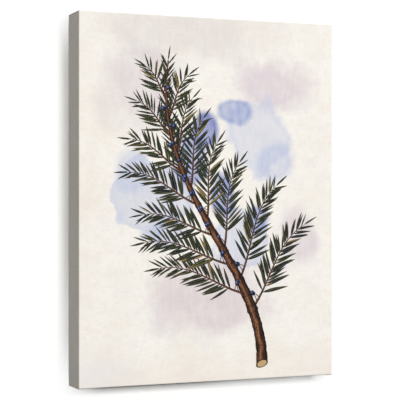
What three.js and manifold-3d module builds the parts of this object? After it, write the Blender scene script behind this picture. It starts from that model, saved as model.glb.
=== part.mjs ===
// A stretched canvas print that hangs on a wall: printed cloth drawn over four mitred softwood
// bars, turned in over their backs and stapled, with a sawtooth hanger and two rubber bumpers.
//
// Millimetres, +Z up. The print faces -Y and the wall is the plane y = 0. The origin is where
// the wall nail sits, at the middle notch of the hanger.

import * as THREE from "three";
import { mergeVertices } from "three/addons/utils/BufferGeometryUtils.js";
import Module from "manifold-3d";

const wasm = await Module();
wasm.setup();

// The picture as sold, which is the size of its bars: 30 x 40 cm, and 4 cm deep
const SOLD = { width: 300, height: 400, depth: 40 };

// Cloth
const CLOTH = 0.6; // primed cotton with its ink
const EDGE_RADIUS = 1.2; // its bend over the edges of the bars
const CORNER_EXTRA = 0.3; // the corners are this much rounder than the edges
const TURNOVER = 20; // how far it reaches in over the backs of the bars

// Stretcher bars: a square section with a lip in front that carries the cloth
const BAR_WIDTH = 32;
const LIP_WIDTH = 6;
const LIP_EASING = 1.5;
const FRONT_FALL = 4.5; // how far the front slopes back from the lip to the inner edge
const BACK_EASING = 0.8;
const SEAT_GAP = 0.3; // between pieces that touch on the real picture

// Fastenings in the backs of the bars
const STAPLE = { crown: 10.6, width: 1.25, thickness: 0.7, leg: 8 };
const STAPLE_FROM_EDGE = 10;
const CORNER_STAPLE_FROM_EDGES = 12;
const V_NAIL = { arm: 5, thickness: 0.6, length: 10 };
const V_NAILS_FROM_EDGES = { outer: 5.4, inner: 23.4 }; // the outer one is under the cloth

// Sawtooth hanger: two feet nailed to the top bar, and a raised middle with notches below
const HANGER = { foot: 9, step: 2, middle: 30, height: 10, thickness: 0.8, rise: 1.6 };
const HANGER_BELOW_TOP = 21;
const NOTCH = { count: 9, pitch: 3, land: 0.4, depth: 2.5 };
const HANGER_NAIL = { head: 2.2, headHeight: 0.7, shank: 0.7, length: 12, point: 2, sides: 12 };

// Rubber bumpers that hold the lower corners off the wall
const BUMPER = { radius: 5, flat: 3.4, height: 2.7, sides: 24 };
const BUMPER_FROM_SIDE = 30;
const BUMPER_FROM_BOTTOM = 10;

// The cloth lies over the bars on every side
const BAR_INSET = CLOTH + SEAT_GAP;
const WIDTH = SOLD.width + 2 * BAR_INSET;
const HEIGHT = SOLD.height + 2 * BAR_INSET;
const DEPTH = SOLD.depth + 2 * BAR_INSET;

// Depths, from the print to the wall
const CLOTH_BACK = -(BUMPER.height + SEAT_GAP);
const CLOTH_FRONT = CLOTH_BACK - DEPTH;
const WOOD_FRONT = CLOTH_FRONT + BAR_INSET;
const WOOD_BACK = CLOTH_BACK - BAR_INSET;
const WOOD_DEPTH = WOOD_BACK - WOOD_FRONT;
const MITRE_GAP = SEAT_GAP * Math.SQRT1_2;

// Heights, from the wall nail
const TOP_EDGE = HANGER_BELOW_TOP + HANGER.height - NOTCH.depth;
const PICTURE_CENTRE = TOP_EDGE - HEIGHT / 2;

const QUARTER_TURN = Math.PI / 2;

const MATERIALS = {
  print: new THREE.MeshStandardMaterial({ color: 0xf1ece4, roughness: 0.75, metalness: 0 }),
  pine: new THREE.MeshStandardMaterial({ color: 0xd9b98a, roughness: 0.65, metalness: 0 }),
  steel: new THREE.MeshStandardMaterial({ color: 0xb9bbbd, roughness: 0.35, metalness: 1 }),
  plated: new THREE.MeshStandardMaterial({ color: 0xc2a15a, roughness: 0.35, metalness: 1 }),
  rubber: new THREE.MeshStandardMaterial({ color: 0x2b2b2c, roughness: 0.8, metalness: 0 }),
};

// A closed geometry as a solid that can be cut
function toSolid(geometry) {
  const bare = geometry.index ? geometry.toNonIndexed() : geometry.clone();
  bare.deleteAttribute("normal");
  bare.deleteAttribute("uv");
  const merged = mergeVertices(bare, 1e-4);
  return new wasm.Manifold(
    new wasm.Mesh({
      numProp: 3,
      vertProperties: new Float32Array(merged.attributes.position.array),
      triVerts: new Uint32Array(merged.index.array),
    }),
  );
}

function toGeometry(solid) {
  const mesh = solid.getMesh();
  const geometry = new THREE.BufferGeometry();
  geometry.setAttribute("position", new THREE.BufferAttribute(mesh.vertProperties, 3));
  geometry.setIndex(new THREE.BufferAttribute(mesh.triVerts, 1));
  geometry.computeVertexNormals();
  return geometry;
}

// The first geometry with the others cut out of it
function cutGeometry(geometry, cutters) {
  const solid = cutters.reduce((left, cutter) => left.subtract(toSolid(cutter)), toSolid(geometry));
  return toGeometry(solid);
}

function namedMesh(name, geometry, material) {
  const mesh = new THREE.Mesh(geometry, material);
  mesh.name = name;
  return mesh;
}

function outlineOf(points) {
  return new THREE.Shape(points.map(([x, y]) => new THREE.Vector2(x, y)));
}

// An outline in X and Z, drawn out along Y from one depth to another
function prismAlongY(points, front, back) {
  const options = { depth: back - front, bevelEnabled: false };
  const geometry = new THREE.ExtrudeGeometry(outlineOf(points), options);
  return geometry.rotateX(QUARTER_TURN).translate(0, back, 0);
}

// An outline in X and Y, drawn out along Z with z = 0 at its middle
function prismAlongZ(points, height) {
  const options = { depth: height, bevelEnabled: false };
  return new THREE.ExtrudeGeometry(outlineOf(points), options).translate(0, 0, -height / 2);
}

// A round piece whose axis runs along Y. Its profile gives [radius, y].
function turnedPiece(profile, sides) {
  const points = profile.map(([radius, y]) => new THREE.Vector2(radius, y));
  return new THREE.LatheGeometry(points, sides);
}

// A block with rounded edges, centred on x = 0 and z = 0
function roundedBlock(width, height, front, back, radius) {
  const corner = radius + CORNER_EXTRA;
  const [x, z] = [width / 2 - corner, height / 2 - corner];
  const outline = new THREE.Shape();
  [[x, -z], [x, z], [-x, z], [-x, -z]].forEach(([centreX, centreZ], i) => {
    outline.absarc(centreX, centreZ, corner, (i - 1) * QUARTER_TURN, i * QUARTER_TURN);
  });
  const geometry = new THREE.ExtrudeGeometry(outline, {
    depth: back - front - 2 * radius,
    curveSegments: 3,
    bevelSize: radius,
    bevelThickness: radius,
    bevelOffset: -radius,
    bevelSegments: 3,
  });
  return geometry.rotateX(QUARTER_TURN).translate(0, back - radius, 0);
}

// A staple, with its crown along X on the back of the turned-in cloth
function stapleGeometry() {
  const half = STAPLE.crown / 2;
  const inside = half - STAPLE.thickness;
  const under = CLOTH_BACK + SEAT_GAP;
  const [over, tip] = [under + STAPLE.thickness, under - STAPLE.leg];
  const outline = [
    [-half, over],
    [-half, tip],
    [-inside, tip],
    [-inside, under],
    [inside, under],
    [inside, tip],
    [half, tip],
    [half, over],
  ];
  return prismAlongZ(outline, STAPLE.width);
}

// What the two legs of a staple leave in the cloth and the wood
function stapleHoles() {
  const [back, front] = [CLOTH_BACK + SEAT_GAP, CLOTH_BACK - STAPLE.leg];
  const wide = STAPLE.thickness + 2 * SEAT_GAP;
  const high = STAPLE.width + 2 * SEAT_GAP;
  const fromMiddle = (STAPLE.crown - STAPLE.thickness) / 2;
  return [-fromMiddle, fromMiddle].map((x) =>
    new THREE.BoxGeometry(wide, back - front, high).translate(x, (back + front) / 2, 0),
  );
}

// A corner's frame has its origin at the outer corner of the picture, which lies towards -X and
// -Z, so the mitre runs down the diagonal. A V nail straddles it, with an arm in each bar.
function vNail(fromEdges, spare = 0) {
  const [outside, inside] = [spare, -V_NAIL.thickness - spare];
  const end = -V_NAIL.arm - spare;
  const outline = [
    [outside, outside],
    [end, outside],
    [end, inside],
    [inside, inside],
    [inside, end],
    [outside, end],
  ].map(([x, z]) => [x - fromEdges, z - fromEdges]);
  return prismAlongY(outline, WOOD_BACK - V_NAIL.length - spare, WOOD_BACK + spare);
}

function cornerStaplePlace() {
  const place = new THREE.Matrix4().makeRotationY(QUARTER_TURN / 2);
  return place.setPosition(-CORNER_STAPLE_FROM_EDGES, 0, -CORNER_STAPLE_FROM_EDGES);
}

function cornerHoles() {
  const slots = Object.values(V_NAILS_FROM_EDGES).map((fromEdges) => vNail(fromEdges, SEAT_GAP));
  return [...slots, ...stapleHoles().map((hole) => hole.applyMatrix4(cornerStaplePlace()))];
}

function buildCorner(name) {
  const corner = new THREE.Group();
  for (const [row, fromEdges] of Object.entries(V_NAILS_FROM_EDGES))
    corner.add(namedMesh(`v_nail_${name}_${row}`, vNail(fromEdges), MATERIALS.steel));
  const staple = stapleGeometry().applyMatrix4(cornerStaplePlace());
  corner.add(namedMesh(`staple_${name}`, staple, MATERIALS.steel));
  return corner;
}

// A side's frame has the bar along X with its outer face up, at the distance reach from the
// middle of the picture. Where the corner frame of each end of the side lies in it:
function cornerPlace(end, length, reach) {
  const place = new THREE.Matrix4().makeRotationY(end < 0 ? -QUARTER_TURN : 0);
  return place.setPosition((end * length) / 2, 0, reach);
}

function staplePlaces({ reach, staples, pitch }) {
  return Array.from({ length: staples }, (_, i) =>
    new THREE.Matrix4().setPosition((i - (staples - 1) / 2) * pitch, 0, reach - STAPLE_FROM_EDGE),
  );
}

// A stretcher bar with mitred ends. Its section gives [in from the outer face, back from the front].
function uncutBar({ length, reach }) {
  const section = [
    [0, LIP_EASING],
    [LIP_EASING, 0],
    [LIP_WIDTH, 0],
    [BAR_WIDTH, FRONT_FALL],
    [BAR_WIDTH, WOOD_DEPTH - BACK_EASING],
    [BAR_WIDTH - BACK_EASING, WOOD_DEPTH],
    [BACK_EASING, WOOD_DEPTH],
    [0, WOOD_DEPTH - BACK_EASING],
  ];
  const geometry = new THREE.ExtrudeGeometry(outlineOf(section), { depth: 1, bevelEnabled: false });
  const position = geometry.getAttribute("position");
  for (let i = 0; i < position.count; i++) {
    const [inward, backward, farEnd] = [position.getX(i), position.getY(i), position.getZ(i) > 0.5];
    const x = length / 2 - BAR_INSET - inward - MITRE_GAP;
    position.setXYZ(i, farEnd ? x : -x, WOOD_FRONT + backward, reach - BAR_INSET - inward);
  }
  return geometry;
}

function barGeometry(side) {
  const cutters = staplePlaces(side).flatMap((place) =>
    stapleHoles().map((hole) => hole.applyMatrix4(place)),
  );
  for (const end of [-1, 1]) {
    const place = cornerPlace(end, side.length, side.reach);
    cutters.push(...cornerHoles().map((hole) => hole.applyMatrix4(place)));
    if (side.holdsHanger) cutters.push(hangerNail(end, SEAT_GAP).translate(0, 0, -PICTURE_CENTRE));
  }
  return cutGeometry(uncutBar(side), cutters);
}

// A bar with its row of staples, and the corners at its ends where it is the one that has them
function buildSide(side) {
  const group = new THREE.Group();
  group.rotation.y = side.turn;
  group.add(namedMesh(`bar_${side.name}`, barGeometry(side), MATERIALS.pine));
  staplePlaces(side).forEach((place, i) => {
    const staple = stapleGeometry().applyMatrix4(place);
    group.add(namedMesh(`staple_${side.name}_${i + 1}`, staple, MATERIALS.steel));
  });
  side.corners.forEach((name, i) => {
    const corner = buildCorner(`${side.name}_${name}`);
    corner.applyMatrix4(cornerPlace(i === 0 ? -1 : 1, side.length, side.reach));
    group.add(corner);
  });
  return group;
}

// The cloth: a shallow tray over the bars, its rim turned in over their backs
function clothGeometry(sides) {
  const outside = roundedBlock(WIDTH, HEIGHT, CLOTH_FRONT, CLOTH_BACK, EDGE_RADIUS);
  const inside = roundedBlock(
    WIDTH - 2 * CLOTH,
    HEIGHT - 2 * CLOTH,
    CLOTH_FRONT + CLOTH,
    CLOTH_BACK - CLOTH,
    EDGE_RADIUS - CLOTH,
  );
  const wayIn = new THREE.BoxGeometry(WIDTH - 2 * TURNOVER, DEPTH / 2, HEIGHT - 2 * TURNOVER);
  const holes = sides.flatMap((side) => {
    const corner = cornerPlace(1, side.length, side.reach).multiply(cornerStaplePlace());
    const turn = new THREE.Matrix4().makeRotationY(side.turn);
    return [...staplePlaces(side), corner].flatMap((place) =>
      stapleHoles().map((hole) => hole.applyMatrix4(place).applyMatrix4(turn)),
    );
  });
  return cutGeometry(outside, [inside, wayIn.translate(0, CLOTH_BACK, 0), ...holes]);
}

// The strip of the hanger, centred on x = 0 with the point of its middle notch at z = 0
function hangerGeometry() {
  const under = WOOD_BACK + SEAT_GAP;
  const over = under + HANGER.thickness;
  const inner = HANGER.middle / 2;
  const knee = inner + HANGER.step;
  const end = knee + HANGER.foot;
  const profile = [
    [-end, under],
    [-knee, under],
    [-inner, under + HANGER.rise],
    [inner, under + HANGER.rise],
    [knee, under],
    [end, under],
    [end, over],
    [knee, over],
    [inner, over + HANGER.rise],
    [-inner, over + HANGER.rise],
    [-knee, over],
    [-end, over],
  ];
  const strip = prismAlongZ(profile, HANGER.height);
  strip.translate(0, 0, HANGER.height / 2 - NOTCH.depth);
  const mouth = (NOTCH.pitch - NOTCH.land) / 2;
  const notches = Array.from({ length: NOTCH.count }, (_, i) => {
    const x = (i - (NOTCH.count - 1) / 2) * NOTCH.pitch;
    const outline = [
      [x - mouth, -2 * NOTCH.depth],
      [x + mouth, -2 * NOTCH.depth],
      [x + mouth, -NOTCH.depth],
      [x, 0],
      [x - mouth, -NOTCH.depth],
    ];
    return prismAlongY(outline, WOOD_BACK, 0);
  });
  return cutGeometry(strip, [...notches, hangerNail(-1, SEAT_GAP), hangerNail(1, SEAT_GAP)]);
}

// A nail through a foot of the hanger, or the wider hole for it
function hangerNail(side, spare = 0) {
  const under = WOOD_BACK + HANGER.thickness + 2 * SEAT_GAP;
  const shank = HANGER_NAIL.shank + spare;
  const tip = under - HANGER_NAIL.length - spare;
  const profile = [
    [0, tip],
    [shank, tip + HANGER_NAIL.point],
    [shank, under],
    [HANGER_NAIL.head, under],
    [HANGER_NAIL.head * 0.8, under + HANGER_NAIL.headHeight * 0.7],
    [0, under + HANGER_NAIL.headHeight],
  ];
  const x = side * (HANGER.middle / 2 + HANGER.step + HANGER.foot / 2);
  return turnedPiece(profile, HANGER_NAIL.sides).translate(x, 0, HANGER.height / 2 - NOTCH.depth);
}

function bumperGeometry() {
  const { radius, flat, height, sides } = BUMPER;
  const profile = [
    [0, -height],
    [radius, -height],
    [radius, -height * 0.65],
    [radius * 0.9, -height * 0.25],
    [flat, 0],
    [0, 0],
  ];
  return turnedPiece(profile, sides);
}

const longSide = { length: HEIGHT, reach: WIDTH / 2, staples: 6, pitch: 60, corners: [] };
const shortSide = { length: WIDTH, reach: HEIGHT / 2, staples: 4, pitch: 68 };
const sides = [
  { name: "top", turn: 0, ...shortSide, corners: ["left", "right"], holdsHanger: true },
  { name: "right", turn: QUARTER_TURN, ...longSide },
  { name: "bottom", turn: 2 * QUARTER_TURN, ...shortSide, corners: ["right", "left"] },
  { name: "left", turn: -QUARTER_TURN, ...longSide },
];

// The frame and its cloth are placed from the middle of the picture, the hanger from the nail
const picture = new THREE.Group();
picture.position.z = PICTURE_CENTRE;
for (const side of sides) picture.add(buildSide(side));
picture.add(namedMesh("canvas", clothGeometry(sides), MATERIALS.print));

const stretchedCanvas = new THREE.Group();
stretchedCanvas.add(picture);
stretchedCanvas.add(namedMesh("hanger", hangerGeometry(), MATERIALS.plated));
for (const [name, side] of [["left", -1], ["right", 1]]) {
  const bumper = namedMesh(`bumper_${name}`, bumperGeometry(), MATERIALS.rubber);
  bumper.position.x = side * (WIDTH / 2 - BUMPER_FROM_SIDE);
  bumper.position.z = BUMPER_FROM_BOTTOM - HEIGHT / 2;
  picture.add(bumper);
  stretchedCanvas.add(namedMesh(`hanger_nail_${name}`, hangerNail(side), MATERIALS.steel));
}

export default stretchedCanvas;
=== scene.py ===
import math
import random
from functools import partial

import bmesh
import bpy
from mathutils import Matrix, Vector
from mathutils.geometry import interpolate_bezier


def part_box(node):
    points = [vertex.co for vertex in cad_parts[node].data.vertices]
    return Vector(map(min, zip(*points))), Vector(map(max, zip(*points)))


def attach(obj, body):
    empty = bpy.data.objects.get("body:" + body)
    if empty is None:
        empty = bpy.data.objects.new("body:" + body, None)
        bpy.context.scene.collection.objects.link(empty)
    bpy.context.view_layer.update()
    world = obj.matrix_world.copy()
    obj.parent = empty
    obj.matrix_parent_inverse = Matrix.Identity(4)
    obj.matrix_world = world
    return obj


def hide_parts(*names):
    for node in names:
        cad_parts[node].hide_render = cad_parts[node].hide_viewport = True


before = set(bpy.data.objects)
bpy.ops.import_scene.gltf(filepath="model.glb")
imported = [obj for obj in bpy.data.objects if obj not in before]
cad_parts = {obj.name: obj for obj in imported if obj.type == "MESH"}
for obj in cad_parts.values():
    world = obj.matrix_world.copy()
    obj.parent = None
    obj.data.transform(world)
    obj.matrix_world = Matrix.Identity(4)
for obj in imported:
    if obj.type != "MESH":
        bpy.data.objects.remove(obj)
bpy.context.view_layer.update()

# The picture hangs on a wall: the print faces -Y, the wall is the plane y = 0, +Z is up.
# Everything is in metres, and sizes in the dictionaries are millimetres.
mm = 0.001
canvasLow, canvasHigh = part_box("canvas")
printMiddle = Vector((0, canvasLow.y, (canvasLow.z + canvasHigh.z) / 2))
halfWidth = canvasHigh.x
halfHeight = (canvasHigh.z - canvasLow.z) / 2
deepness = canvasHigh.y - canvasLow.y
scene = bpy.context.scene
scene.view_settings.view_transform = "Standard"


# Camera

camera = {
    "distance": 1380.9,  # to the middle of the print, straight ahead
    "turn": 21.69,  # degrees round to the left of the print
    "aside": 11.88,  # the print's middle is this far right of the middle of the view
    "below": 0.44,  # the camera is this much lower than the print's middle
    "lens": 112.47,
    "sensor": 36,
    "nearest": 50,
}


def placeCamera():
    turn = math.radians(camera["turn"])
    forward = Vector((math.sin(turn), math.cos(turn), 0))
    right = Vector((math.cos(turn), -math.sin(turn), 0))
    data = bpy.data.cameras.new("photoCamera")
    data.lens = camera["lens"]
    data.sensor_width = camera["sensor"]
    data.clip_start = camera["nearest"] * mm
    thing = bpy.data.objects.new("photoCamera", data)
    scene.collection.objects.link(thing)
    thing.location = printMiddle - camera["distance"] * mm * forward - camera["aside"] * mm * right
    thing.location.z -= camera["below"] * mm
    thing.rotation_euler = (math.pi / 2, 0, -turn)
    scene.camera = thing


placeCamera()
print("camera placed")


# Small helpers for modelling and for materials


def deselectAll():
    for thing in bpy.context.selected_objects:
        thing.select_set(False)


def work(piece):
    deselectAll()
    piece.select_set(True)
    bpy.context.view_layer.objects.active = piece


def startEdit(piece):
    work(piece)
    bpy.ops.object.mode_set(mode="EDIT")
    bpy.ops.mesh.select_all(action="DESELECT")


def endEdit():
    bpy.ops.object.mode_set(mode="OBJECT")


# Selects, in edit mode, what has its middle where the test says
def pick(kind, test):
    bpy.ops.mesh.select_mode(type=kind)
    bpy.ops.mesh.select_all(action="DESELECT")
    shape = bmesh.from_edit_mesh(bpy.context.edit_object.data)
    for part in {"VERT": shape.verts, "EDGE": shape.edges, "FACE": shape.faces}[kind]:
        corners = [part] if kind == "VERT" else part.verts
        if test(sum((corner.co for corner in corners), Vector()) / len(corners)):
            part.select_set(True)
    shape.select_flush_mode()
    bmesh.update_edit_mesh(bpy.context.edit_object.data)


def near(value, target, slack=0.02 * mm):
    return abs(value - target) < slack


def shift(x, y, z):
    bpy.ops.transform.translate(value=(x, y, z))


def extrude(x, y, z):
    bpy.ops.mesh.extrude_region_move(TRANSFORM_OT_translate={"value": (x, y, z)})


# Cuts the whole mesh in edit mode along a plane
def cutAt(place, normal, **settings):
    bpy.ops.mesh.select_all(action="SELECT")
    bpy.ops.mesh.bisect(plane_co=place, plane_no=normal, **settings)


def newest(name):
    piece = bpy.context.view_layer.objects.active
    piece.name = name
    piece.data.name = name
    return piece


def settle():
    bpy.ops.object.transform_apply(location=True, rotation=True, scale=True)


def addShape(name, operator, **settings):
    deselectAll()
    operator(**settings)
    piece = newest(name)
    settle()
    return piece


def applyModifier(piece, kind, **settings):
    work(piece)
    modifier = piece.modifiers.new(kind.lower(), kind)
    for name, value in settings.items():
        setattr(modifier, name, value)
    bpy.ops.object.modifier_apply(modifier=modifier.name)


def bevelEdges(piece, width, segments=2, angle=0.8):
    size = {"width": width * mm, "segments": segments}
    applyModifier(piece, "BEVEL", **size, limit_method="ANGLE", angle_limit=angle)


def smooth(piece, angle=40):
    work(piece)
    bpy.ops.object.shade_smooth_by_angle(angle=math.radians(angle))


def copyOf(piece, name, place):
    twin = piece.copy()
    twin.data = piece.data.copy()
    twin.name = name
    twin.data.name = name
    twin.data.transform(place)
    scene.collection.objects.link(twin)
    return twin


def placeAt(spot, turn, axis, size=(1, 1, 1)):
    return Matrix.Translation(spot) @ Matrix.Rotation(turn, 4, axis) @ Matrix.Diagonal((*size, 1))


def joinAs(name, pieces):
    deselectAll()
    for piece in pieces:
        piece.select_set(True)
    bpy.context.view_layer.objects.active = pieces[0]
    if len(pieces) > 1:
        bpy.ops.object.join()
    return newest(name)


def boxOf(node):
    low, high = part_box(node)
    return low, high, (low + high) / 2, high - low


def nodesOf(start):
    return sorted(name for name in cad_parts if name.startswith(start))


def dress(piece, *materials):
    piece.data.materials.clear()
    for material in materials:
        piece.data.materials.append(material)


# An sRGB colour as the shaders take it
def linear(hexColour):
    channels = [int(hexColour[i : i + 2], 16) / 255 for i in (1, 3, 5)]
    return (*[c / 12.92 if c <= 0.04045 else ((c + 0.055) / 1.055) ** 2.4 for c in channels], 1)


# Gives a node its inputs, by name or in order: values, hex colours or the sockets to link
def setInputs(node, inputs):
    for name, value in inputs.items() if isinstance(inputs, dict) else enumerate(inputs):
        if isinstance(value, bpy.types.NodeSocket):
            node.id_data.links.new(value, node.inputs[name])
        else:
            node.inputs[name].default_value = linear(value) if isinstance(value, str) else value


# Adds a node and gives back one of its outputs. A kind in capitals is an operation of the Math
# node, and the stops fill a colour ramp.
def addNode(tree, kind, inputs=(), stops=(), output=0, **settings):
    if kind.isupper():
        kind, settings = "Math", {"operation": kind}
    node = tree.nodes.new("ShaderNode" + kind)
    for name, value in settings.items():
        setattr(node, name, value)
    setInputs(node, inputs)
    if stops:
        ramp = node.color_ramp.elements
        while len(ramp) < len(stops):
            ramp.new(0.5)
        for element, (position, colour) in zip(ramp, stops):
            element.position = position
            element.color = linear(colour) if isinstance(colour, str) else (colour,) * 3 + (1,)
    return node.outputs[output]


# Gives the material, what adds a node to it and what sets inputs of its shader
def newMaterial(name, inputs):
    material = bpy.data.materials.new(name)
    material.use_nodes = True
    surface = material.node_tree.nodes["Principled BSDF"]
    setInputs(surface, inputs)
    return material, partial(addNode, material.node_tree), partial(setInputs, surface)


# Distance from a spot of the front, in shares of a width and a height
def addDistance(add, place, spot, size, share=1):
    middle = printMiddle + Vector((spot[0], 0, spot[1])) * mm
    centred = add("Mapping", {"Vector": place, "Location": -middle})
    scale = (share / (size[0] * mm), 0, share / (size[1] * mm))
    sized = add("Mapping", {"Vector": centred, "Scale": scale})
    return add("VectorMath", [sized], output="Value", operation="LENGTH")


def addGap(add, value, target):
    gap = add("SUBTRACT", [value, target])
    return add("ABSOLUTE", [gap])


# Materials

weave = {
    "thread": 0.9,  # real spacing is 0.55, which is too fine to show at the photograph's size
    "relief": 0.05,
    "sink": 0.6,  # how far a thread dips under the one that crosses it
    "slub": 9,  # thicker stretches of a thread are this many times longer than they are wide
    "slubLength": 24,  # so 2.7 wide, coarser than the real single threads, to show at that size
    "slubRise": 1.2,
}


# Bump of a plain weave, over and under, on the cloth's own flat pattern
def addWeave(add, strength):
    flat = add("UVMap")
    parts = add("SeparateXYZ", [flat]).node.outputs
    waves, rounds, slubs = [], [], []
    for axis in ("X", "Y"):
        angle = add("MULTIPLY", [parts[axis], math.pi / (weave["thread"] * mm)])
        waves.append(add("SINE", [angle]))
        rounds.append(add("ABSOLUTE", waves[-1:]))
    crossing = add("MULTIPLY", waves)
    warp = add("MULTIPLY_ADD", [crossing, weave["sink"], rounds[0]])
    weft = add("MULTIPLY_ADD", [crossing, -weave["sink"], rounds[1]])
    top = add("MAXIMUM", [warp, weft])
    scale = 1 / (weave["slubLength"] * mm)
    for across in ((1, weave["slub"], 1), (weave["slub"], 1, 1)):
        stretched = add("Mapping", {"Vector": flat, "Scale": across})
        slubs.append(add("TexNoise", {"Vector": stretched, "Scale": scale, "Detail": 2.0}))
    both = add("ADD", slubs)
    height = add("MULTIPLY_ADD", [both, weave["slubRise"], top])
    bump = {"Height": height, "Strength": strength, "Distance": weave["relief"] * mm}
    return add("Bump", bump), both


ground = {
    "paper": "#f6f2ec",  # the print's own pale ground
    "primed": "#f2f1ec",  # unprinted canvas beyond the picture
    "lowerLeftTint": "#ecdfd4",  # a darker, warmer tint towards the lower and the left edge
    "lowerLeftTintFrom": (46, 60),  # from the lower edge and from the left one
    "lowerLeftTintMost": (0.85, 0.4),
    "printPastEdge": 7,
    "foldWearAndHighlight": 1.3,  # the ink is rubbed thin, and a highlight is painted, this far to either side of a fold
    "foldWearAndHighlightMost": 0.8,
    # paler colour of the rubbed ink and of the highlight painted along the folds
    "rubbedAndLit": "#fbf9f4",
    # Stains: size, stretch across and up, colour, where in the noise they start, strength
    "stains": [
        (48, (1, 1), "#efe7dc", 0.42, 0.5),
        (20, (1, 1), "#e8e5e3", 0.48, 0.35),
        (7, (0.4, 1), "#eee2dc", 0.48, 0.35),
        (5, (1, 0.4), "#e8e3de", 0.5, 0.35),
        (3, (0.5, 1), "#e5e0dc", 0.5, 0.4),
    ],
    "stainFull": 0.7,  # where in the noise they have their full strength
    "stainShift": 0.3,  # metres from one noise to the next, so that no two look alike
}

wash = {
    "wobble": 38,  # size of the waves in an outline
    "wander": 0.62,
    "brush": 5,
    "brushTurn": 0.25,
    "brushStretch": 0.3,
    "core": 0.45,  # the outline lies at about this share of a wash's size
}

# Watercolour washes: middle and size from the middle of the print, colour, strength, and how
# far the edge has bled, from 0, dried to a line, to 1, melted away
washes = [
    ((-22, 186), (112, 34), "#cfc3c3", 0.6, 1.0),
    ((-84, 120), (50, 46), "#cbbdc6", 0.65, 0.9),
    ((78, 126), (50, 32), "#cab8c8", 0.72, 0.6),
    ((2, -110), (80, 50), "#ccbac5", 0.75, 0.8),
    ((106, -44), (26, 40), "#ccbbc9", 0.7, 0.6),
    ((-124, -188), (36, 22), "#e4e3e6", 0.6, 1.0),
    ((58, 72), (44, 44), "#c7cce0", 0.75, 0.15),
    ((80, 42), (26, 24), "#b0bbdc", 0.7, 0.5),
    ((30, 98), (24, 15), "#8496cc", 0.85, 0.4),
    ((-70, 2), (44, 50), "#c4cadf", 0.85, 0.05),
    ((-92, 32), (22, 24), "#b9c2dd", 0.65, 0.5),
    ((-50, -34), (26, 22), "#a8b4d8", 0.7, 0.5),
    ((36, -42), (38, 38), "#c4cadf", 0.8, 0.1),
    ((56, -20), (17, 20), "#748bcb", 0.85, 0.5),
    ((-24, 42), (22, 28), "#5f7bc6", 0.85, 0.5),
    ((-6, 76), (17, 23), "#3a5ab4", 0.95, 0.4),
    ((14, 4), (19, 26), "#4a6abd", 0.9, 0.4),
]


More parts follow.
